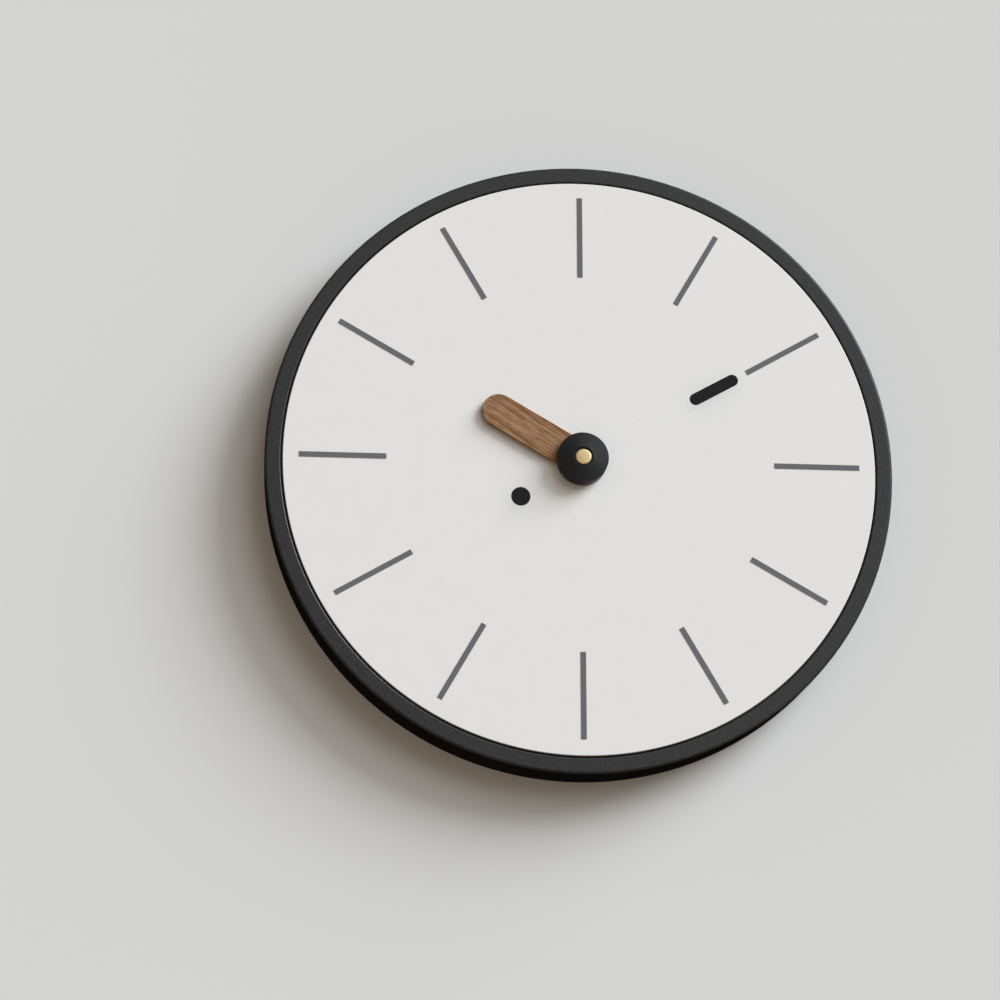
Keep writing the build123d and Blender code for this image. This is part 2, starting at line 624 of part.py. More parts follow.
save("coil_core", coil_core)

with BuildPart() as coil_bobbin:
    with BuildSketch(COIL_PLANE):
        Rectangle(TUBE_DEPTH, TUBE_HEIGHT)
        Rectangle(STATOR_SHEET, CORE_WIDTH, mode=Mode.SUBTRACT)
    extrude(amount=COIL_LENGTH / 2, both=True)
    for end in (-COIL_LENGTH / 2, COIL_LENGTH / 2 - BOBBIN_FLANGE):
        with BuildSketch(COIL_PLANE.offset(end)):
            Rectangle(BOBBIN_FLANGE_SIZE, BOBBIN_FLANGE_SIZE)
            Rectangle(STATOR_SHEET, CORE_WIDTH, mode=Mode.SUBTRACT)
        extrude(amount=BOBBIN_FLANGE)
save("coil_bobbin", coil_bobbin)

with BuildPart() as coil_winding:
    with BuildSketch(COIL_PLANE):
        RectangleRounded(
            TUBE_DEPTH + 2 * WINDING_BUILD, TUBE_HEIGHT + 2 * WINDING_BUILD, WINDING_CORNER
        )
        Rectangle(TUBE_DEPTH, TUBE_HEIGHT, mode=Mode.SUBTRACT)
    extrude(amount=COIL_LENGTH / 2 - BOBBIN_FLANGE, both=True)
save("coil_winding", coil_winding)

# Circuit board with the control chip and the crystal
BOARD_BACK = TRAIN_BACK + BOARD_STANDOFF
BOARD_FRONT = BOARD_BACK + BOARD_THICKNESS
with BuildPart() as circuit_board:
    with BuildSketch(front_plane(BOARD_BACK)):
        with Locations(BOARD_AT):
            Rectangle(BOARD_WIDTH, BOARD_HEIGHT)
    extrude(amount=BOARD_THICKNESS)
save("circuit_board", circuit_board)

with BuildPart() as control_chip:
    with BuildSketch(front_plane(BOARD_FRONT)):
        with Locations((BOARD_AT[0] - BOARD_WIDTH / 5, BOARD_AT[1])):
            Rectangle(CHIP_SIZE, CHIP_SIZE)
    extrude(amount=CHIP_HEIGHT, taper=CHIP_DRAFT)
save("control_chip", control_chip)

with BuildPart() as quartz_crystal:
    can_plane = Plane(
        origin=(
            BOARD_AT[0] + BOARD_WIDTH / 4,
            -BOARD_FRONT - CRYSTAL_RADIUS,
            AXIS_Z + BOARD_AT[1],
        ),
        x_dir=(1, 0, 0),
        z_dir=(0, 0, 1),
    )
    with BuildSketch(can_plane):
        Circle(CRYSTAL_RADIUS)
        with Locations((0, CRYSTAL_RADIUS)):
            Rectangle(CRYSTAL_RADIUS, CRYSTAL_RADIUS, align=HIGH)
    extrude(amount=CRYSTAL_LENGTH / 2, both=True)
save("quartz_crystal", quartz_crystal)

# Battery contacts: bent leaf strips at the ends of the trough
BATTERY_LEFT = -BATTERY_LENGTH / 2
for contact_name, wall_side in (("battery_contact_negative", -1), ("battery_contact_positive", 1)):
    with BuildPart() as battery_contact:
        with BuildSketch(front_plane(BATTERY_AXIS - CONTACT_DEPTH / 2)):
            with BuildLine():
                at_wall = wall_side * (HALF_ROOM - CONTACT_SHEET)
                at_cell = wall_side * (BATTERY_LENGTH / 2 + CONTACT_SHEET / 6)
                low = BATTERY_RISE - CONTACT_HEIGHT / 2
                high = BATTERY_RISE + CONTACT_HEIGHT / 2
                Polyline(
                    (at_wall, low),
                    (at_wall, low + CONTACT_HEIGHT / 6),
                    (at_cell, low + CONTACT_HEIGHT / 3),
                    (at_cell, high - CONTACT_HEIGHT / 3),
                    (at_wall, high - CONTACT_HEIGHT / 6),
                    (at_wall, high),
                )
                offset(
                    amount=CONTACT_SHEET,
                    side=Side.RIGHT if wall_side > 0 else Side.LEFT,
                    kind=Kind.INTERSECTION,
                )
            make_face()
        extrude(amount=CONTACT_DEPTH)
    save(contact_name, battery_contact)

# Battery: AA cell lying along the trough
with BuildPart() as battery:
    cell_plane = Plane(
        origin=(BATTERY_LEFT, -BATTERY_AXIS, AXIS_Z + BATTERY_RISE), x_dir=(0, 1, 0), z_dir=(1, 0, 0)
    )
    with BuildSketch(cell_plane):
        Circle(BATTERY_RADIUS)
    extrude(amount=BATTERY_LENGTH - BATTERY_NUB)
    with BuildSketch(cell_plane.offset(BATTERY_LENGTH - BATTERY_NUB)):
        Circle(BATTERY_NUB_RADIUS)
    extrude(amount=BATTERY_NUB)
save("battery", battery)

# Hour wheel with its pipe, the hub on the pipe and the wooden hand in the hub
with BuildPart() as hour_wheel:
    with BuildSketch(train_plane(tier(0))):
        add(gear_face(HOUR_WHEEL_TEETH, HOUR_MODULE, HOUR_WHEEL_PHASE))
    extrude(amount=WHEEL_THICKNESS)
    with BuildSketch(train_plane(tier(0))):
        Circle(HOUR_PIPE_RADIUS)
    extrude(amount=HUB_FRONT - TRAIN_FRONT + tier(0))
    with BuildSketch(train_plane(tier(0))):
        Circle(HOUR_PIPE_BORE)
    extrude(amount=HUB_FRONT - TRAIN_FRONT + tier(0), mode=Mode.SUBTRACT)
save("hour_wheel", hour_wheel)

with BuildPart() as hour_hub:
    with BuildSketch(hand_plane(HOUR_ANGLE, HUB_BACK)):
        Circle(HUB_RADIUS)
        Circle(HOUR_PIPE_RADIUS, mode=Mode.SUBTRACT)
    extrude(amount=HUB_FRONT - HUB_BACK)
    with BuildSketch(hand_plane(HOUR_ANGLE, HUB_BACK)):
        Circle(HUB_RECESS_RADIUS)
    extrude(amount=HUB_RECESS_FRONT - HUB_BACK, mode=Mode.SUBTRACT)
    with BuildSketch(hand_plane(HOUR_ANGLE, HOUR_HAND_BACK)):
        with Locations((HOUR_HAND_START, 0)):
            Rectangle(HUB_RADIUS, HOUR_HAND_WIDTH, align=INNER)
    extrude(amount=HOUR_HAND_THICKNESS, mode=Mode.SUBTRACT)
save("hour_hub", hour_hub)

with BuildPart() as hour_hand:
    with BuildSketch(hand_plane(HOUR_ANGLE, HOUR_HAND_BACK)):
        tip_centre = HOUR_HAND_LENGTH - HOUR_HAND_WIDTH / 2
        with Locations((HOUR_HAND_START, 0)):
            Rectangle(tip_centre - HOUR_HAND_START, HOUR_HAND_WIDTH, align=INNER)
        with Locations((tip_centre, 0)):
            Circle(HOUR_HAND_WIDTH / 2)
    extrude(amount=HOUR_HAND_THICKNESS)
    top_face = hour_hand.faces().sort_by(HANDS_AXIS)[-1]
    seat = hour_hand.faces().sort_by(Axis((0, 0, AXIS_Z), hand_plane(HOUR_ANGLE, 0).x_dir))[0]
    eased = [edge for edge in top_face.edges() if edge not in seat.edges()]
    chamfer(eased, HOUR_HAND_EDGE)
save("hour_hand", hour_hand)

# Minute pipe with its pinion, the clear arm on the pipe and the bar on the arm
MINUTE_PIPE_BACK = tier(2) + PINION_MARGIN
with BuildPart() as minute_pipe:
    with BuildSketch(train_plane(MINUTE_PIPE_BACK)):
        Circle(CLUTCH_SLEEVE_RADIUS)
    extrude(amount=MINUTE_PIPE_BACK - tier(1))
    with BuildSketch(train_plane(tier(1) + PINION_MARGIN)):
        add(gear_face(MINUTE_PINION_TEETH, MOTION_MODULE, MOTION_DIRECTION))
    extrude(amount=PINION_THICKNESS)
    with BuildSketch(train_plane(tier(1))):
        Circle(MINUTE_PIPE_RADIUS)
    extrude(amount=MINUTE_FRONT - TRAIN_FRONT + tier(1))
    with BuildSketch(train_plane(MINUTE_PIPE_BACK)):
        Circle(MINUTE_PIPE_BORE)
    extrude(amount=MINUTE_FRONT - TRAIN_FRONT + MINUTE_PIPE_BACK, mode=Mode.SUBTRACT)
save("minute_pipe", minute_pipe)

BAR_END = MINUTE_BAR_CENTRE + (MINUTE_BAR_LENGTH - MINUTE_BAR_WIDTH) / 2
with BuildPart() as minute_arm:
    with BuildSketch(hand_plane(MINUTE_ANGLE, MINUTE_BACK)):
        Circle(ARM_DISC_RADIUS)
        Rectangle(BAR_END, ARM_WIDTH, align=INNER)
        with Locations((BAR_END, 0)):
            Circle(ARM_WIDTH / 2)
        Circle(MINUTE_PIPE_RADIUS, mode=Mode.SUBTRACT)
    extrude(amount=ARM_THICKNESS)
save("minute_arm", minute_arm)

with BuildPart() as minute_bar:
    with BuildSketch(hand_plane(MINUTE_ANGLE, MINUTE_FRONT)):
        with Locations((MINUTE_BAR_CENTRE, 0)):
            SlotOverall(MINUTE_BAR_LENGTH, MINUTE_BAR_WIDTH)
    extrude(amount=INK_THICKNESS)
save("minute_bar", minute_bar)

# Second wheel and spindle, the collet, the clear arm with its dot, the cap and its pin
SPINDLE_BACK = TRAIN_BACK_BOSS + PIVOT_DEPTH
with BuildPart() as second_wheel:
    with BuildSketch(train_plane(tier(4))):
        add(gear_face(SECOND_WHEEL_TEETH, SECOND_MODULE, SECOND_WHEEL_PHASE))
        Circle(SPINDLE_RADIUS, mode=Mode.SUBTRACT)
    extrude(amount=WHEEL_THICKNESS)
save("second_wheel", second_wheel)

with BuildPart() as second_spindle:
    with BuildSketch(train_plane(SPINDLE_BACK)):
        Circle(SPINDLE_RADIUS)
    extrude(amount=COLLET_FRONT - TRAIN_FRONT + SPINDLE_BACK)
    with BuildSketch(train_plane(tier(3) + PINION_MARGIN)):
        add(gear_face(SECOND_PINION_TEETH, THIRD_MODULE, THIRD_DIRECTION))
    extrude(amount=PINION_THICKNESS)
save("second_spindle", second_spindle)

with BuildPart() as second_collet:
    with BuildSketch(front_plane(SECOND_BACK)):
        Circle(COLLET_RADIUS)
        Circle(SPINDLE_RADIUS, mode=Mode.SUBTRACT)
    extrude(amount=COLLET_FRONT - SECOND_BACK)
save("second_collet", second_collet)

with BuildPart() as second_arm:
    with BuildSketch(hand_plane(SECOND_ANGLE, SECOND_BACK)):
        Circle(ARM_DISC_RADIUS)
        Rectangle(SECOND_DOT_CENTRE, SECOND_ARM_WIDTH, align=INNER)
        with Locations((SECOND_DOT_CENTRE, 0)):
            Circle(SECOND_DOT_RADIUS + SECOND_ARM_EDGE)
        Circle(COLLET_RADIUS, mode=Mode.SUBTRACT)
    extrude(amount=ARM_THICKNESS)
save("second_arm", second_arm)

with BuildPart() as second_dot:
    with BuildSketch(hand_plane(SECOND_ANGLE, SECOND_FRONT)):
        with Locations((SECOND_DOT_CENTRE, 0)):
            Circle(SECOND_DOT_RADIUS)
    extrude(amount=INK_THICKNESS)
save("second_dot", second_dot)

with BuildPart() as hub_cap:
    with BuildSketch(section_plane(0)):
        with BuildLine():
            Polyline(
                (COLLET_RADIUS, SECOND_BACK),
                (HUB_RADIUS, SECOND_BACK),
                (HUB_RADIUS, CAP_SHOULDER),
                (CAP_RECESS_RADIUS, CAP_TOP),
                (CAP_RECESS_RADIUS, PIN_SEAT),
                (0, PIN_SEAT),
                (0, COLLET_FRONT),
                (COLLET_RADIUS, COLLET_FRONT),
                close=True,
            )
        make_face()
    revolve(axis=HANDS_AXIS)
    with BuildSketch(hand_plane(SECOND_ANGLE, SECOND_BACK)):
        Circle(ARM_DISC_RADIUS + ARM_CHANNEL_GAP)
        Rectangle(SECOND_DOT_CENTRE, SECOND_ARM_WIDTH + 2 * ARM_CHANNEL_GAP, align=INNER)
    extrude(amount=ARM_THICKNESS, mode=Mode.SUBTRACT)
save("hub_cap", hub_cap)

with BuildPart() as cap_pin:
    with BuildSketch(front_plane(PIN_SEAT)):
        Circle(CAP_PIN_RADIUS)
    extrude(amount=CAP_PIN_HEIGHT)
    chamfer(cap_pin.faces().sort_by(HANDS_AXIS)[-1].edges(), CAP_PIN_EDGE)
save("cap_pin", cap_pin)

# Motion wheel on its post, and the setting gear with its knob at the back
with BuildPart() as motion_wheel:
    with BuildSketch(train_plane(tier(1))):
        with Locations(MOTION_AT):
            add(gear_face(MOTION_WHEEL_TEETH, MOTION_MODULE, MOTION_WHEEL_PHASE))
    extrude(amount=WHEEL_THICKNESS)
    with BuildSketch(train_plane(tier(1))):
        with Locations(MOTION_AT):
            add(gear_face(MOTION_PINION_TEETH, HOUR_MODULE, MOTION_DIRECTION + 180))
    extrude(amount=tier(1) - tier(0) + WHEEL_THICKNESS + PINION_MARGIN)
    with BuildSketch(train_plane(tier(1))):
        with Locations(MOTION_AT):
            Circle(MOTION_POST_RADIUS + RUNNING_FIT)
    extrude(amount=tier(1), mode=Mode.SUBTRACT)
save("motion_wheel", motion_wheel)

KNOB_FRONT = WELL_FLOOR - KNOB_GAP
with BuildPart() as setting_gear:
    with BuildSketch(train_plane(tier(1) + PINION_MARGIN)):
        with Locations(SETTING_AT):
            add(gear_face(SETTING_TEETH, MOTION_MODULE, SETTING_PHASE))
    extrude(amount=PINION_THICKNESS)
    with BuildSketch(front_plane(KNOB_FRONT - KNOB_THICKNESS / 2)):
        with Locations(SETTING_AT):
            Circle(KNOB_SHAFT_RADIUS)
    extrude(amount=TRAIN_FRONT - tier(1) - PINION_MARGIN - KNOB_FRONT + KNOB_THICKNESS / 2)
    with BuildSketch(train_plane(tier(1))):
        with Locations(SETTING_AT):
            Circle(ARBOR_RADIUS)
    extrude(amount=tier(1) - SETTING_FRONT_BOSS + PIVOT_DEPTH)
save("setting_gear", setting_gear)

with BuildPart() as setting_knob:
    with BuildSketch(front_plane(KNOB_FRONT - KNOB_THICKNESS)):
        with Locations(SETTING_AT):
            Circle(KNOB_RADIUS)
            with PolarLocations(KNOB_RADIUS, KNOB_FLUTES):
                Rectangle(KNOB_FLUTE_SIZE, KNOB_FLUTE_SIZE, mode=Mode.SUBTRACT)
    extrude(amount=KNOB_THICKNESS)
    with BuildSketch(front_plane(KNOB_FRONT - KNOB_THICKNESS / 2)):
        with Locations(SETTING_AT):
            Circle(KNOB_SHAFT_RADIUS)
    extrude(amount=KNOB_THICKNESS / 2, mode=Mode.SUBTRACT)
save("setting_knob", setting_knob)

# Centre wheel, which slips on the minute pipe's sleeve when the hands are set
with BuildPart() as centre_wheel:
    with BuildSketch(train_plane(tier(2))):
        add(gear_face(CENTRE_WHEEL_TEETH, CENTRE_MODULE, CENTRE_WHEEL_PHASE))
        Circle(CLUTCH_SLEEVE_RADIUS + RUNNING_FIT, mode=Mode.SUBTRACT)
    extrude(amount=WHEEL_THICKNESS)
save("centre_wheel", centre_wheel)

# Third wheel and intermediate wheel, each with its pinion and arbor
with BuildPart() as third_wheel:
    third_end = TRAIN_BACK_BOSS + PIVOT_DEPTH
    with BuildSketch(train_plane(third_end)):
        with Locations(THIRD_AT):
            Circle(ARBOR_RADIUS)
    extrude(amount=third_end - THIRD_FRONT_BOSS + PIVOT_DEPTH)
    with BuildSketch(train_plane(tier(3))):
        with Locations(THIRD_AT):
            add(gear_face(THIRD_WHEEL_TEETH, THIRD_MODULE, THIRD_WHEEL_PHASE))
    extrude(amount=WHEEL_THICKNESS)
    with BuildSketch(train_plane(tier(3))):
        with Locations(THIRD_AT):
            add(gear_face(THIRD_PINION_TEETH, CENTRE_MODULE, THIRD_DIRECTION + 180))
    extrude(amount=tier(3) - tier(2) + WHEEL_THICKNESS + PINION_MARGIN)
save("third_wheel", third_wheel)

with BuildPart() as intermediate_wheel:
    intermediate_end = INTERMEDIATE_BACK_BOSS + PIVOT_DEPTH
    with BuildSketch(train_plane(intermediate_end)):
        with Locations(INTERMEDIATE_AT):
            Circle(ARBOR_RADIUS)
    extrude(amount=intermediate_end - THIRD_FRONT_BOSS + PIVOT_DEPTH)
    with BuildSketch(train_plane(tier(5))):
        with Locations(INTERMEDIATE_AT):
            add(gear_face(INTERMEDIATE_WHEEL_TEETH, ROTOR_MODULE, INTERMEDIATE_WHEEL_PHASE))
    extrude(amount=WHEEL_THICKNESS)
    with BuildSketch(train_plane(tier(5))):
        with Locations(INTERMEDIATE_AT):
            add(
                gear_face(
                    INTERMEDIATE_PINION_TEETH, SECOND_MODULE, INTERMEDIATE_DIRECTION + 180
                )
            )
    extrude(amount=tier(5) - tier(4) + WHEEL_THICKNESS + PINION_MARGIN)
save("intermediate_wheel", intermediate_wheel)

# Rotor: two-pole magnet on the arbor of the first pinion
ROTOR_END = ROTOR_BACK_BOSS + PIVOT_DEPTH / 2
with BuildPart() as rotor_pinion:
    with BuildSketch(train_plane(ROTOR_END)):
        with Locations(ROTOR_AT):
            Circle(ARBOR_RADIUS)
    extrude(amount=ROTOR_END - ROTOR_FRONT_BOSS + PIVOT_DEPTH)
    with BuildSketch(train_plane(tier(5) + PINION_MARGIN)):
        with Locations(ROTOR_AT):
            add(gear_face(ROTOR_PINION_TEETH, ROTOR_MODULE, ROTOR_DIRECTION + 180))
    extrude(amount=PINION_THICKNESS)
save("rotor_pinion", rotor_pinion)

with BuildPart() as rotor_magnet:
    with BuildSketch(train_plane(MAGNET_BACK)):
        with Locations(ROTOR_AT):
            Circle(MAGNET_RADIUS)
            Circle(ARBOR_RADIUS, mode=Mode.SUBTRACT)
    extrude(amount=MAGNET_THICKNESS)
save("rotor_magnet", rotor_magnet)
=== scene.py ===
import json
from math import cos, pi, radians, sin

import bpy
from mathutils import Matrix, Vector

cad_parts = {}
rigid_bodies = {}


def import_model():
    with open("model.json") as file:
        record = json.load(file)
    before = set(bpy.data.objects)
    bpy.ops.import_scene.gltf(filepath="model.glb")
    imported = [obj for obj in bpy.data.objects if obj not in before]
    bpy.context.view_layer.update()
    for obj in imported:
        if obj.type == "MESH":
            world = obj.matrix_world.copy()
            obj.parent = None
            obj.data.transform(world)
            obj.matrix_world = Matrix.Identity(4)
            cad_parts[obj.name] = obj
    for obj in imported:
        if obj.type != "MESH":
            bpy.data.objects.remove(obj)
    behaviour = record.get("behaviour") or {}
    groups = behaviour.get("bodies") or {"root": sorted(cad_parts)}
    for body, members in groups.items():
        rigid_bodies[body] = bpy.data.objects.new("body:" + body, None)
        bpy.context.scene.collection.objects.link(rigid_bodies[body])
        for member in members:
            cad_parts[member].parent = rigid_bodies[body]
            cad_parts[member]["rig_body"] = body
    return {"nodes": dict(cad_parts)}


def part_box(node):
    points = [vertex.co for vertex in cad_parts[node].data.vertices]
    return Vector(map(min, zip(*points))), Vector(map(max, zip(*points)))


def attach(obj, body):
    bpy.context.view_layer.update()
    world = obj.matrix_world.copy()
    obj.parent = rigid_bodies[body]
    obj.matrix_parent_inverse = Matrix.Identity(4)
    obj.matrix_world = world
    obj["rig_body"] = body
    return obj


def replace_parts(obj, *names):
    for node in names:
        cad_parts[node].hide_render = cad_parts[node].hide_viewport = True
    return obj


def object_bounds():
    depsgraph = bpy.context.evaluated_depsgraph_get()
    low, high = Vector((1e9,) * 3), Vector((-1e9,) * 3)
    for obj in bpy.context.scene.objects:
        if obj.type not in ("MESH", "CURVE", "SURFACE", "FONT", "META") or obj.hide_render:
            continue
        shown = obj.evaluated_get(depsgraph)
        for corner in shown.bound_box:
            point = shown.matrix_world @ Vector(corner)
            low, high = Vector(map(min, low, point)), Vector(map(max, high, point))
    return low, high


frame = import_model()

cad_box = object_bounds()

# Frame ring
# One moulding in charcoal plastic: a flat front, a ledge inside for the dial and ribs behind.
# Its corners are eased in the mould and rubbed to a soft shine by handling, and its skin has
# a fine speckle and a pebbled grain.
mm = 0.001
RING_BORE = 166.2 * mm
RING_EDGE = 0.6 * mm
EDGE_SHINE = 0.5
EDGE_ROUGHNESS = 0.2
DIAL_PLANE = (1, 0, 1)
NOISE_LOW = 0.3
NOISE_HIGH = 0.7
MERGE_DISTANCE = 0.001 * mm
FLAT_ANGLE = radians(0.5)
SHARP_ANGLE = radians(30)
SMOOTH_ANGLE = radians(40)
ROUNDING_STEPS = 3


class Signal:
    """One socket of a node tree. Arithmetic on signals adds Math nodes, node() adds any other."""

    def __init__(self, tree, socket):
        self.tree = tree
        self.socket = socket

    def node(self, kind, settings, inputs, output=0):
        made = self.tree.nodes.new("ShaderNode" + kind)
        for name, value in settings.items():
            if name == "stops":
                ramp = made.color_ramp.elements
                while len(ramp) < len(value):
                    ramp.new(1.0)
                for stop, (position, colour) in zip(ramp, value):
                    stop.position = position
                    stop.color = (*colour, 1.0)
            else:
                setattr(made, name, value)
        for name, value in inputs.items():
            if isinstance(value, Signal):
                self.tree.links.new(value.socket, made.inputs[name])
            else:
                made.inputs[name].default_value = value
        return Signal(self.tree, made.outputs[output])

    def math(self, operation, first, second):
        return self.node("Math", {"operation": operation}, {0: first, 1: second})

    def __add__(self, other):
        return self.math("ADD", self, other)

    def __sub__(self, other):
        return self.math("SUBTRACT", self, other)

    def __rsub__(self, other):
        return self.math("SUBTRACT", other, self)

    def __mul__(self, other):
        return self.math("MULTIPLY", self, other)

    def __gt__(self, other):
        return self.math("GREATER_THAN", self, other)

    def __lt__(self, other):
        return self.math("LESS_THAN", self, other)

    __radd__ = __add__
    __rmul__ = __mul__


def screen(red, green, blue):
    """The linear shade of a colour that reads so on a screen, from 0 to 255."""
    return tuple((level / 255) ** 2.2 for level in (red, green, blue))


def shader_of(material):
    """The shader that makes a material's surface."""
    return material.node_tree.nodes["Principled BSDF"]


def place_on(material):
    """The signal of a point's place on the object that wears a material."""
    tree = material.node_tree
    return Signal(tree, tree.nodes.new("ShaderNodeTexCoord").outputs["Object"])


def new_finish(name, constants):
    """A material with its constants set, and the signal of a point's place on the object."""
    material = bpy.data.materials.new(name)
    material.use_nodes = True
    for socket, value in constants.items():
        shader_of(material).inputs[socket].default_value = value
    return material, place_on(material)


def feed(material, signals):
    """Links signals to the named sockets of a material's shader."""
    for socket, signal in signals.items():
        signal.tree.links.new(signal.socket, shader_of(material).inputs[socket])


def noise(place, size, detail=2.0):
    """Cloudy noise, from 0 to 1, whose blots are about one size across."""
    return place.node("TexNoise", {}, {"Vector": place, "Scale": 1 / size, "Detail": detail})


def shaded(signal, *stops):
    """The colour that a signal picks from stops, each a level and the shade at that level."""
    return signal.node("ValToRGB", {"stops": stops}, {"Fac": signal})


def raised(height, strength, depth):
    """The normal of a surface that a signal raises, a depth high at its full strength."""
    return height.node("Bump", {}, {"Height": height, "Strength": strength, "Distance": depth})


def moulding(name, dark, pale, roughness, gloss, grain, tooth=0.15, blot=14 * mm):
    """Moulded plastic: blotted in two shades, with an uneven sheen and a pebbled grain."""
    uneven = 0.12
    pebble_depth = grain / 6
    material, place = new_finish(name, {"Specular IOR Level": gloss})
    cloud = noise(place, blot, detail=4.0)
    feed(
        material,
        {
            "Base Color": shaded(cloud, (NOISE_LOW, dark), (NOISE_HIGH, pale)),
            "Roughness": cloud * uneven + (roughness - uneven / 2),
            "Normal": raised(noise(place, grain), tooth, pebble_depth),
        },
    )
    return material


def rounded(piece, width):
    """Rounds the sharp edges of the active piece and keeps its flat faces flat."""
    bevel = piece.modifiers.new("rounded edges", "BEVEL")
    bevel.width = width
    bevel.segments = ROUNDING_STEPS
    bevel.limit_method = "ANGLE"
    bevel.angle_limit = SHARP_ANGLE
    bpy.ops.object.modifier_apply(modifier=bevel.name)
    bpy.ops.object.shade_smooth_by_angle(angle=SMOOTH_ANGLE, keep_sharp_edges=False)
    weighted = piece.modifiers.new("flat faces", "WEIGHTED_NORMAL")
    weighted.keep_sharp = True
    bpy.ops.object.modifier_apply(modifier=weighted.name)


def eased(node, width):
    """A merged copy of a node with its edges rounded, which stands for the node."""
    source = frame["nodes"][node]
    piece = bpy.data.objects.new(node + "_eased", source.data.copy())
    bpy.context.collection.objects.link(piece)
    bpy.ops.object.select_all(action="DESELECT")
    piece.select_set(True)
    bpy.context.view_layer.objects.active = piece
    bpy.ops.mesh.customdata_custom_splitnormals_clear()
    bpy.ops.object.mode_set(mode="EDIT")
    bpy.ops.mesh.select_all(action="SELECT")
    bpy.ops.mesh.remove_doubles(threshold=MERGE_DISTANCE)
    bpy.ops.mesh.dissolve_limited(angle_limit=FLAT_ANGLE)
    bpy.ops.object.mode_set(mode="OBJECT")
    rounded(piece, width)
    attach(piece, source["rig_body"])
    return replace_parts(piece, node)


def dress(material, slot, *pieces):
    """Gives new pieces a finish. The slot argument is not used."""
    for piece in pieces:
        piece.data.materials.clear()
        piece.data.materials.append(material)


charcoal = moulding(
    "charcoal moulding",
    screen(44, 44, 45),
    screen(55, 55, 55),
    roughness=0.4,
    gloss=0.2,
    grain=1.0 * mm,
    tooth=0.4,
    blot=1.3 * mm,
)
shader_of(charcoal).inputs["Coat Roughness"].default_value = EDGE_ROUGHNESS
place = place_on(charcoal)
ring_middle = (cad_box[0] + cad_box[1]) / 2
ring_radius = cad_box[1].x
across = place.node("VectorMath", {"operation": "SUBTRACT"}, {0: place, 1: ring_middle})
across = place.node("VectorMath", {"operation": "MULTIPLY"}, {0: across, 1: DIAL_PLANE})
radius = place.node("VectorMath", {"operation": "LENGTH"}, {0: across}, "Value")
inner_edge = (radius < RING_BORE + RING_EDGE) * (radius > RING_BORE - RING_EDGE)
outer_edge = radius > ring_radius - RING_EDGE
feed(charcoal, {"Coat Weight": (inner_edge + outer_edge) * EDGE_SHINE})
frame_ring = eased("frame_ring", width=RING_EDGE)
dress(charcoal, "frame_black", frame_ring)

# Dial plate
# A stiff disc, painted satin white with a faint orange peel, that rests on the ledge with
# a shadow gap all round. Its rim is rounded, and the hands' bushing passes its middle.
DIAL_HOLE = 4.1 * mm
DIAL_EDGE = 0.35 * mm
DIAL_STEPS = 256
OUTWARD = Vector((0, -1, 0))
dial_low, dial_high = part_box("dial_plate")
HANDS = Vector((0, 0, (dial_low.z + dial_high.z) / 2))
dial_radius = dial_high.x
dial_front = -dial_low.y
dial_back = -dial_high.y


def turned(name, outline, centre, axis, steps):
    """Draws an outline of radii and heights from one vertex, and spins it about an axis."""
    across = axis.orthogonal().normalized()
    points = [centre + across * radius + axis * height for radius, height in outline]
    bpy.ops.object.select_all(action="DESELECT")
    bpy.ops.mesh.primitive_plane_add(size=mm, location=points[0])
    piece = bpy.context.object
    piece.name = name
    bpy.ops.object.transform_apply(location=True)
    bpy.ops.object.mode_set(mode="EDIT")
    bpy.ops.mesh.merge(type="CENTER")
    for start, end in zip(points, points[1:]):
        bpy.ops.mesh.extrude_region_move(TRANSFORM_OT_translate={"value": end - start})
    bpy.ops.mesh.select_all(action="SELECT")
    bpy.ops.mesh.remove_doubles(threshold=MERGE_DISTANCE)
    bpy.ops.mesh.spin(steps=steps, angle=2 * pi, center=centre, axis=axis)
    bpy.ops.mesh.select_all(action="SELECT")
    bpy.ops.mesh.remove_doubles(threshold=MERGE_DISTANCE)
    bpy.ops.mesh.normals_make_consistent(inside=False)
    bpy.ops.object.mode_set(mode="OBJECT")
    return piece


dial = turned(
    "dial",
    [
        (DIAL_HOLE, dial_back),
        (dial_radius, dial_back),
        (dial_radius, dial_front),
        (DIAL_HOLE, dial_front),
        (DIAL_HOLE, dial_back),
    ],
    HANDS,
    OUTWARD,
    DIAL_STEPS,
)
rounded(dial, width=DIAL_EDGE)
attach(dial, "case")
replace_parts(dial, "dial_plate")
white_paint = moulding(
    "satin white paint",
    screen(223, 222, 219),
    screen(225, 224, 222),
    roughness=0.5,
    gloss=0.3,
    grain=1.2 * mm,
)
dress(white_paint, "dial_white", dial)

# Hour marks
# Twelve grey bars, screen-printed on the dial in one thin coat of ink whose surface is
# a little mottled.
INK_GLOSS = 0.12
INK_ROUGHNESS = 0.5
INK_UNEVEN = 0.15
INK_MOTTLE = 0.8 * mm
INK_LOW = 0.35
INK_HIGH = 0.65
INK_TOOTH = 0.15
INK_DEPTH = 0.03 * mm


def ink(name, dark, pale):
    """Printed ink: two near shades in fine mottling, dull, with a slight tooth."""
    material, place = new_finish(name, {"Specular IOR Level": INK_GLOSS})
    mottle = noise(place, INK_MOTTLE, detail=3.0)
    feed(
        material,
        {
            "Base Color": shaded(mottle, (INK_LOW, dark), (INK_HIGH, pale)),
            "Roughness": mottle * INK_UNEVEN + INK_ROUGHNESS,
            "Normal": raised(mottle, INK_TOOTH, INK_DEPTH),
        },
    )
    return material


def dress_node(material, *nodes):
    """Gives CAD nodes a finish."""
    for node in nodes:
        frame["nodes"][node].material_slots[0].material = material


grey_ink = ink("grey ink", screen(101, 101, 103), screen(105, 105, 107))
dress_node(grey_ink, "hour_marks")

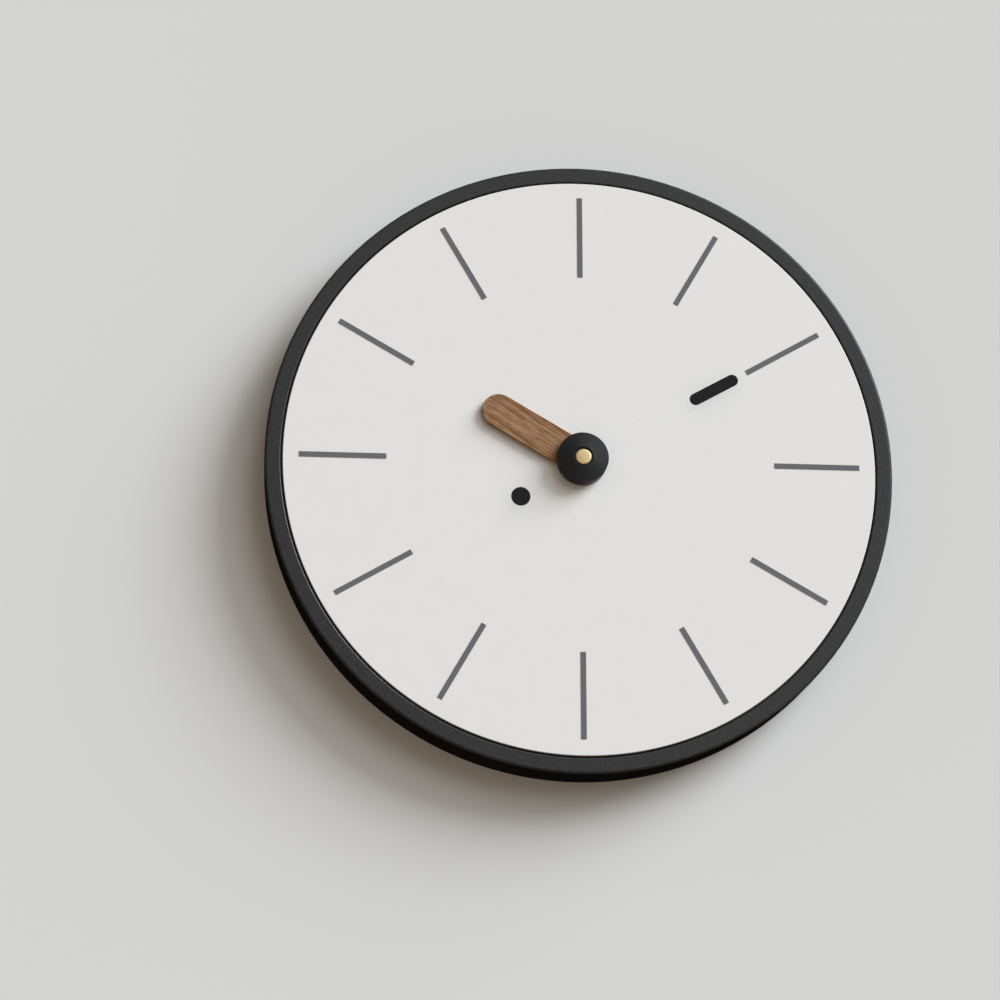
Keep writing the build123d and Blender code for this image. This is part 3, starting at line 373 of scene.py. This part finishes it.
# Dial screws
# Four zinc-plated pan-head screws that hold the dial to the ledge from behind. The heads
# are turned, and the cross recess is cut into each.
SCREW_COUNT = 4
SCREW_CIRCLE = 161.7 * mm
SCREW_STEPS = 32
SCREW_SMOOTH_ANGLE = radians(35)
HEAD_RADIUS = 2.6 * mm
HEAD_HEIGHT = 1.5 * mm
HEAD_SIDE = HEAD_HEIGHT * 0.4
SHOULDER_RADIUS = HEAD_RADIUS * 0.8
SHOULDER_HEIGHT = HEAD_HEIGHT * 0.85
CROWN_RADIUS = HEAD_RADIUS * 0.5
RECESS_LENGTH = 3.0 * mm
RECESS_WIDTH = 0.7 * mm
RECESS_DEPTH = 0.9 * mm
LEDGE_THICKNESS = 2.0 * mm


def metal(name, dark, pale, roughness, grain):
    """Bare metal between two shades, with a fine grain in its sheen."""
    uneven = 0.16
    tooth = 0.1
    grain_depth = grain / 20
    material, place = new_finish(name, {"Metallic": 1.0})
    speck = noise(place, grain, detail=4.0)
    feed(
        material,
        {
            "Base Color": shaded(speck, (NOISE_LOW, dark), (NOISE_HIGH, pale)),
            "Roughness": speck * uneven + (roughness - uneven / 2),
            "Normal": raised(speck, tooth, grain_depth),
        },
    )
    return material


zinc = metal(
    "zinc plate", screen(150, 152, 154), screen(166, 168, 169), roughness=0.36, grain=1.2 * mm
)
ledge_back = dial_back - LEDGE_THICKNESS
seat = HANDS + OUTWARD * ledge_back + Vector((SCREW_CIRCLE, 0, 0))
first_screw = turned(
    "dial_screw_1",
    [
        (0, 0),
        (HEAD_RADIUS, 0),
        (HEAD_RADIUS, HEAD_SIDE),
        (SHOULDER_RADIUS, SHOULDER_HEIGHT),
        (CROWN_RADIUS, HEAD_HEIGHT),
        (0, HEAD_HEIGHT),
    ],
    seat,
    -OUTWARD,
    SCREW_STEPS,
)
for slot_size in (
    (RECESS_LENGTH, 2 * RECESS_DEPTH, RECESS_WIDTH),
    (RECESS_WIDTH, 2 * RECESS_DEPTH, RECESS_LENGTH),
):
    bpy.ops.object.select_all(action="DESELECT")
    bpy.ops.mesh.primitive_cube_add(
        size=1, location=seat - OUTWARD * HEAD_HEIGHT, scale=slot_size
    )
    cutter = bpy.context.object
    bpy.context.view_layer.objects.active = first_screw
    recess = first_screw.modifiers.new("recess", "BOOLEAN")
    recess.operation = "DIFFERENCE"
    recess.object = cutter
    bpy.ops.object.modifier_apply(modifier=recess.name)
    bpy.data.objects.remove(cutter)
bpy.ops.object.select_all(action="DESELECT")
first_screw.select_set(True)
bpy.ops.object.shade_smooth_by_angle(angle=SCREW_SMOOTH_ANGLE)
screws = [first_screw]
for number in range(1, SCREW_COUNT):
    copy = bpy.data.objects.new("dial_screw_" + str(number + 1), first_screw.data.copy())
    bpy.context.collection.objects.link(copy)
    turn = Matrix.Rotation(2 * pi * number / SCREW_COUNT, 4, "Y")
    copy.data.transform(Matrix.Translation(HANDS) @ turn @ Matrix.Translation(-HANDS))
    screws.append(copy)
for screw in screws:
    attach(screw, "case")
dress(zinc, "steel_plain", *screws)

# Gasket and hanger
# A rubber ring between dial and hanger keeps the movement from turning. The hanger is a bent
# steel strip with a keyhole, zinc-plated, with its edges tumbled smooth, and the bushing
# clamps it behind the dial.
rubber = moulding(
    "black rubber", screen(36, 36, 36), screen(44, 44, 43), roughness=0.8, gloss=0.3, grain=0.4 * mm
)
dress_node(rubber, "dial_gasket")
hanger = eased("hanger_plate", width=0.12 * mm)
dress(zinc, "steel_plain", hanger)

# Movement case
# Two halves in black polystyrene: the front tray with the open battery trough, and the
# cover with the well of the setting knob. The outer edges are softened in the mould.
CASE_EDGE = 0.2 * mm
black_plastic = moulding(
    "black polystyrene",
    screen(38, 38, 39),
    screen(45, 45, 46),
    roughness=0.45,
    gloss=0.45,
    grain=0.4 * mm,
)
front_case = eased("movement_front_case", width=CASE_EDGE)
rear_case = eased("movement_rear_case", width=CASE_EDGE)
dress(black_plastic, "movement_plastic", front_case, rear_case)

# Bushing, washer and nut
# Turned brass parts that clamp the movement, hanger and dial together under the hub. The
# collet of the second hand is turned from the same brass.
turned_brass = metal(
    "turned brass", screen(196, 170, 112), screen(218, 194, 138), roughness=0.34, grain=0.6 * mm
)
dress_node(turned_brass, "threaded_bushing", "bushing_washer", "bushing_nut", "second_collet")

# Stepping motor
# A stamped, plated iron stator and core, a bobbin of natural acetal wound with enamelled
# copper wire, and the rotor: a sintered magnet pressed on its acetal pinion.
dress_node(zinc, "stator", "coil_core")
copper = metal(
    "enamelled copper", screen(176, 104, 62), screen(206, 132, 84), roughness=0.3, grain=0.12 * mm
)
dress_node(copper, "coil_winding")
magnet = metal(
    "sintered magnet", screen(86, 86, 88), screen(104, 104, 106), roughness=0.55, grain=0.3 * mm
)
dress_node(magnet, "rotor_magnet")
acetal = moulding(
    "natural acetal",
    screen(226, 223, 210),
    screen(234, 231, 221),
    roughness=0.38,
    gloss=0.5,
    grain=0.5 * mm,
)
dress_node(acetal, "coil_bobbin", "rotor_pinion")

# Circuit
# A small board in green solder mask, the control chip in black resin and the bright
# drawn can of the crystal.
solder_mask = moulding(
    "solder mask", screen(24, 92, 56), screen(32, 108, 66), roughness=0.3, gloss=0.5, grain=0.3 * mm
)
dress_node(solder_mask, "circuit_board")
resin = moulding(
    "black resin", screen(28, 28, 29), screen(36, 36, 36), roughness=0.6, gloss=0.4, grain=0.2 * mm
)
dress_node(resin, "control_chip")
bright_can = metal(
    "bright can", screen(208, 210, 212), screen(226, 227, 228), roughness=0.22, grain=0.8 * mm
)
dress_node(bright_can, "quartz_crystal")

# Battery and contacts
# The contacts are bent spring-steel leaves. The cell is an AA: a steel can in a printed foil
# sleeve with a pale band, rolled in at both ends, with the raised pole at one of them.
POLE_RADIUS = 2.6 * mm
POLE_HEIGHT = 1.2 * mm
CRIMP = 0.7 * mm
SLEEVE_LIP = 5.6 * mm
CELL_EDGE = 0.2 * mm
CELL_STEPS = 96
BAND_START = 0.60
BAND_END = 0.66
BAND_STOP = 0.5
SLEEVE_METAL = 0.3
SLEEVE_ROUGHNESS = 0.28
SCUFF_SIZE = 2.5 * mm
SCUFF_STRENGTH = 0.2
dress_node(zinc, "battery_contact_negative", "battery_contact_positive")
cell_low, cell_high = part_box("battery")
cell_middle = (cell_low + cell_high) / 2
cell_radius = (cell_high.z - cell_low.z) / 2
cell_length = cell_high.x - cell_low.x
shoulder = cell_length - POLE_HEIGHT
cell = turned(
    "battery_cell",
    [
        (0, CRIMP / 2),
        (SLEEVE_LIP - CRIMP, CRIMP / 2),
        (SLEEVE_LIP, 0),
        (cell_radius - CRIMP, 0),
        (cell_radius, CRIMP),
        (cell_radius, shoulder - CRIMP),
        (cell_radius - CRIMP, shoulder),
        (SLEEVE_LIP, shoulder),
        (SLEEVE_LIP - CRIMP, shoulder - CRIMP / 2),
        (POLE_RADIUS, shoulder - CRIMP / 2),
        (POLE_RADIUS, cell_length),
        (0, cell_length),
    ],
    Vector((cell_low.x, cell_middle.y, cell_middle.z)),
    Vector((1, 0, 0)),
    CELL_STEPS,
)
rounded(cell, width=CELL_EDGE)
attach(cell, "battery_cell")
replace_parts(cell, "battery")
sleeve, place = new_finish("printed foil sleeve", {"Coat Weight": 0.3, "Coat Roughness": 0.15})
share = (place.node("SeparateXYZ", {}, {0: place}, "X") - cell_low.x) * (1 / cell_length)
band = (share > BAND_START) * (share < BAND_END)
bare = (share < CRIMP / cell_length) + (share > (shoulder - CRIMP / 2) / cell_length)
sleeve_colour = shaded(
    band * BAND_STOP + bare,
    (0.0, screen(58, 64, 74)),
    (BAND_STOP, screen(206, 207, 206)),
    (1.0, screen(190, 192, 194)),
)
scuff = noise(place, SCUFF_SIZE, detail=4.0)
feed(
    sleeve,
    {
        "Base Color": sleeve_colour,
        "Metallic": bare * (1 - SLEEVE_METAL) + SLEEVE_METAL,
        "Roughness": scuff * SCUFF_STRENGTH + SLEEVE_ROUGHNESS,
    },
)
dress(sleeve, "cell_wrap", cell)

# Going train and motion work
# Wheels, pinions and pipes are moulded in natural acetal, pale and a little waxy; the knob's
# notched rim is eased. The steel spindle of the second hand runs through the minute pipe.
dress_node(
    acetal,
    "intermediate_wheel",
    "second_wheel",
    "third_wheel",
    "centre_wheel",
    "motion_wheel",
    "setting_gear",
    "hour_wheel",
    "minute_pipe",
)
dress_node(zinc, "second_spindle")
setting_knob = eased("setting_knob", width=0.12 * mm)
dress(acetal, "gear_plastic", setting_knob)

# Hour hub
# A turned boss in black enamel, pressed on the hour pipe, with a mortise for the hand. Its
# edges are softened under the enamel.
hub_enamel = moulding(
    "black enamel",
    screen(18, 18, 19),
    screen(22, 22, 23),
    roughness=0.4,
    gloss=0.28,
    grain=0.6 * mm,
)
hour_hub = eased("hour_hub", width=0.4 * mm)
dress(hub_enamel, "hub_black", hour_hub)

# Hour hand
# A strip of oiled walnut, sawn along the grain, with a round tip and a softened edge. Fine
# fibres and a broader figure run along the hand, broken by short dark pores.
HOUR_ANGLE = radians(300.4)
HOUR_LENGTH = 63.0 * mm
HOUR_WIDTH = 18.9 * mm
HOUR_ROOT = 9.4 * mm
HOUR_EDGE = 0.35 * mm
TIP_STEPS = 96
BEHIND_TIP = -0.01 * mm
hand_low, hand_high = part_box("hour_hand")
along_hand = Vector((sin(HOUR_ANGLE), 0, cos(HOUR_ANGLE)))
tip = HANDS + along_hand * (HOUR_LENGTH - HOUR_WIDTH / 2)
tip.y = (hand_low.y + hand_high.y) / 2
bpy.ops.object.select_all(action="DESELECT")
bpy.ops.mesh.primitive_cylinder_add(
    vertices=TIP_STEPS,
    radius=HOUR_WIDTH / 2,
    depth=hand_high.y - hand_low.y,
    location=tip,
    rotation=(pi / 2, HOUR_ANGLE - pi / 2, 0),
)
hour_hand = bpy.context.object
hour_hand.name = "hour_hand_walnut"
bpy.ops.object.transform_apply(location=True, rotation=True)
bpy.ops.object.mode_set(mode="EDIT")
bpy.ops.mesh.select_mode(type="VERT")
bpy.ops.mesh.select_all(action="DESELECT")
bpy.ops.object.mode_set(mode="OBJECT")
for vertex in hour_hand.data.vertices:
    vertex.select = (vertex.co - tip).dot(along_hand) < BEHIND_TIP
bpy.ops.object.mode_set(mode="EDIT")
bpy.ops.transform.translate(value=-along_hand * (HOUR_LENGTH - HOUR_WIDTH))
bpy.ops.mesh.select_all(action="SELECT")
bpy.ops.mesh.bisect(
    plane_co=HANDS + along_hand * HOUR_ROOT, plane_no=along_hand, use_fill=True, clear_inner=True
)
bpy.ops.object.mode_set(mode="OBJECT")
rounded(hour_hand, width=HOUR_EDGE)
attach(hour_hand, "hour")
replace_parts(hour_hand, "hour_hand")

WOOD_GLOSS = 0.15
WOOD_ROUGHNESS = 0.38
WOOD_UNEVEN = 0.25
WOOD_TOOTH = 0.3
WOOD_DEPTH = 0.08 * mm
GRAIN_LEAN = radians(-3)
GRAIN_STRETCH = 45
PORE_STRETCH = 11
FIGURE_SIZE = 3.0 * mm
FIBRE_SIZE = 0.9 * mm
PORE_SIZE = 0.6 * mm
PORE_START = 0.55
PORE_FULL = 0.66
FIGURE_SHARE = 0.3
FIBRE_SHARE = 0.7
PORE_DARKNESS = 0.22
OVERALL_LIFT = 0.02
walnut, place = new_finish("oiled walnut", {"Specular IOR Level": WOOD_GLOSS})
turn_to_grain = (0, HOUR_ANGLE - GRAIN_LEAN - pi / 2, 0)


def along_grain(stretch):
    """The place on the hand with one axis along the grain, where patterns are drawn out."""
    return place.node(
        "Mapping",
        {"vector_type": "TEXTURE"},
        {"Vector": place, "Rotation": turn_to_grain, "Scale": (stretch, 1.0, 1.0)},
    )


figure = noise(along_grain(GRAIN_STRETCH), FIGURE_SIZE)
fibre = noise(along_grain(GRAIN_STRETCH), FIBRE_SIZE, detail=4.0)
pores = noise(along_grain(PORE_STRETCH), PORE_SIZE, detail=1.0)
dashes = shaded(pores, (PORE_START, (0, 0, 0)), (PORE_FULL, (1, 1, 1)))
streaks = figure * FIGURE_SHARE + fibre * FIBRE_SHARE - dashes * PORE_DARKNESS + OVERALL_LIFT
wood_colour = shaded(
    streaks,
    (0.38, screen(113, 79, 52)),
    (0.5, screen(141, 106, 76)),
    (0.62, screen(158, 124, 93)),
)
feed(
    walnut,
    {
        "Base Color": wood_colour,
        "Roughness": streaks * WOOD_UNEVEN + WOOD_ROUGHNESS,
        "Normal": raised(streaks, WOOD_TOOTH, WOOD_DEPTH),
    },
)
dress(walnut, "walnut", hour_hand)

# Minute and second hands
# Two clear acrylic arms carry what is seen of these hands: a black bar and a black dot, each
# printed on its arm. Arms and print are so thin and so close to the dial that they throw no
# shadow, and the arms show a little at their cut edges only.
CLEAR_HAZE = 0.005
HAZE_UNEVEN = 0.01
HAZE_SIZE = 20 * mm
CUT_EDGE_HAZE = 0.12
acrylic, place = new_finish(
    "clear acrylic",
    {"Base Color": (0.9, 0.91, 0.91, 1), "Roughness": 0.06, "Specular IOR Level": 0.2},
)
faint = noise(place, HAZE_SIZE)
facing = place.node("SeparateXYZ", {}, {0: place.node("NewGeometry", {}, {}, "Normal")}, "Y")
cut_edge = 1 - facing * facing
feed(acrylic, {"Alpha": faint * HAZE_UNEVEN + CLEAR_HAZE + cut_edge * CUT_EDGE_HAZE})
dress_node(acrylic, "minute_arm", "second_arm")
black_ink = ink("black ink", screen(27, 26, 26), screen(31, 30, 30))
dress_node(black_ink, "minute_bar", "second_dot")
for node in ("minute_arm", "minute_bar", "second_arm", "second_dot"):
    frame["nodes"][node].visible_shadow = False

# Hub cap
# A shallow turned cone in satin black paint, pressed on the second hand's collet, with a
# round seat for the pin and a channel behind for the clear arm.
black_paint = moulding(
    "satin black paint",
    screen(14, 14, 15),
    screen(17, 17, 18),
    roughness=0.38,
    gloss=0.28,
    grain=0.6 * mm,
)
hub_cap = eased("hub_cap", width=0.3 * mm)
dress(black_paint, "hub_black", hub_cap)

# Cap pin
# A short brass pin, polished and lacquered, that stands proud of the cap's seat. Its face is
# flat in the middle and slopes a little to the rounded rim.
PIN_FLAT = 0.84
PIN_SLOPE = 0.14 * mm
PIN_EDGE = 0.12 * mm
PIN_STEPS = 96
pin_low, pin_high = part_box("cap_pin")
pin_radius = pin_high.x
pin_back = -pin_high.y
pin_front = -pin_low.y
pin = turned(
    "cap_pin_brass",
    [
        (0, pin_back),
        (pin_radius, pin_back),
        (pin_radius, pin_front - PIN_SLOPE),
        (pin_radius * PIN_FLAT, pin_front),
        (0, pin_front),
    ],
    HANDS,
    OUTWARD,
    PIN_STEPS,
)
rounded(pin, width=PIN_EDGE)
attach(pin, "second")
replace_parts(pin, "cap_pin")
polished_brass = metal(
    "polished brass", screen(188, 165, 120), screen(198, 175, 131), roughness=0.42, grain=1.2 * mm
)
dress(polished_brass, "brass_polished", pin)

# Studio
# The clock hangs on a pale wall above a pale floor, in plain soft light: two broad lamps at
# the upper right, one behind that serves the back, and a warm even glow. The wall shows from
# the front only, and a dark card round the clock keeps light from behind off its flank.
LAMP_COLOUR = (0.937, 1.014, 1.09)
KEY_FROM = Vector((0.705, -0.39, 0.592))
KEY_SPREAD = radians(34)
KEY_LEVEL = 0.5
UPPER_FROM = Vector((0.42, -0.81, 0.42))
UPPER_SPREAD = radians(40)
UPPER_LEVEL = 0.2
REAR_FROM = Vector((-0.5, 0.76, 0.42))
REAR_SPREAD = radians(56)
REAR_LEVEL = 0.6


def soft_lamp(name, direction, spread, level):
    """A broad distant lamp that lights the plane of the wall to a level, where 1 is full."""
    direction = direction.normalized()
    bpy.ops.object.light_add(type="SUN", location=HANDS + direction)
    lamp = bpy.context.object
    lamp.name = name
    lamp.data.angle = spread
    lamp.data.color = LAMP_COLOUR
    lamp.data.energy = level * pi / abs(direction.y)
    lamp.rotation_euler = (-direction).to_track_quat("-Z", "Y").to_euler()


soft_lamp("key lamp", KEY_FROM, KEY_SPREAD, KEY_LEVEL)
soft_lamp("upper lamp", UPPER_FROM, UPPER_SPREAD, UPPER_LEVEL)
soft_lamp("rear lamp", REAR_FROM, REAR_SPREAD, REAR_LEVEL)

STAGE_SIZE = 240.0
WALL_GAP = 0.2 * mm
FLOOR_DROP = 1.6
CARD_GAP = 0.4 * mm
CARD_RADIUS = 1.0
CARD_STEPS = 128
PATCH_SIZE = 0.6
PATCH_LIFT = 1.02


def paint(name, shade):
    """Flat paint for the stage: it has no shine, and it is very slightly patchy."""
    material, place = new_finish(name, {"Roughness": 1.0, "Specular IOR Level": 0.0})
    lifted = [level * PATCH_LIFT for level in shade]
    patches = noise(place, PATCH_SIZE)
    feed(material, {"Base Color": shaded(patches, (NOISE_LOW, shade), (NOISE_HIGH, lifted))})
    return material


wall_paint = paint("pale wall paint", screen(212, 212, 210))
tree = wall_paint.node_tree
painted = Signal(tree, shader_of(wall_paint).outputs[0])
one_sided = painted.node(
    "MixShader",
    {},
    {
        0: painted.node("NewGeometry", {}, {}, "Backfacing"),
        1: painted,
        2: painted.node("BsdfTransparent", {}, {}),
    },
)
tree.links.new(one_sided.socket, tree.nodes["Material Output"].inputs["Surface"])
bpy.ops.mesh.primitive_plane_add(
    size=STAGE_SIZE, location=(0, WALL_GAP, HANDS.z), rotation=(pi / 2, 0, 0)
)
wall = bpy.context.object
wall.data.materials.append(wall_paint)
bpy.ops.mesh.primitive_plane_add(size=STAGE_SIZE, location=(0, 0, HANDS.z - FLOOR_DROP))
floor = bpy.context.object
floor.data.materials.append(paint("pale floor paint", screen(184, 184, 182)))

# Wall and floor take the clock's shadow, and send no light or shade on to the clock.
for surface in (wall, floor):
    surface.visible_diffuse = False
    surface.visible_glossy = False
    surface.visible_transmission = False
    surface.visible_shadow = False
card = turned(
    "card", [(ring_radius, -CARD_GAP), (CARD_RADIUS, -CARD_GAP)], HANDS, OUTWARD, CARD_STEPS
)
card.data.materials.append(paint("black card", screen(4, 4, 4)))
card.visible_camera = False

# The world is a pale backdrop where it is seen, and where metal and clear parts show what is
# behind the clock. Elsewhere it is the glow. A Mix node's colour sockets go by number.
GLOW = 0.32
GLOW_COLOUR = (1.0, 0.83, 0.67, 1.0)
BACKDROP = 0.86
WHITE = (1, 1, 1, 1)
MIX_FACTOR = 0
MIX_FIRST = 6
MIX_SECOND = 7
MIX_RESULT = 2
scene = bpy.context.scene
scene.world = bpy.data.worlds.new("studio glow")
scene.world.use_nodes = True
tree = scene.world.node_tree
towards = Signal(tree, tree.nodes.new("ShaderNodeTexCoord").outputs["Generated"])
rearward = towards.node("SeparateXYZ", {}, {0: towards}, "Y") > 0.0
seen, mirrored, refracted = (
    towards.node("LightPath", {}, {}, "Is " + kind + " Ray")
    for kind in ("Camera", "Glossy", "Transmission")
)
shown = seen + (mirrored + refracted) * rearward
glow = towards.node(
    "Mix",
    {"data_type": "RGBA"},
    {MIX_FACTOR: shown, MIX_FIRST: GLOW_COLOUR, MIX_SECOND: WHITE},
    MIX_RESULT,
)
strength = shown * BACKDROP + (1 - shown) * GLOW
background = tree.nodes["Background"]
tree.links.new(glow.socket, background.inputs["Color"])
tree.links.new(strength.socket, background.inputs["Strength"])
scene.view_settings.view_transform = "Standard"

# Camera
# It looks up from below left through a long lens, so that the ring's lower left side shows
# and the dial stays nearly round.
CAMERA_PLACE = Vector((-0.17098, -1.42947, -0.46363))
CAMERA_AIM = Vector((-0.0453, -0.0264, -0.06431))
SENSOR_WIDTH = 36.0
LENS = 95.84
bpy.ops.object.camera_add(location=CAMERA_PLACE)
camera = bpy.context.object
camera.rotation_euler = (CAMERA_AIM - CAMERA_PLACE).to_track_quat("-Z", "Y").to_euler()
camera.data.sensor_width = SENSOR_WIDTH
camera.data.lens = LENS
scene.camera = camera
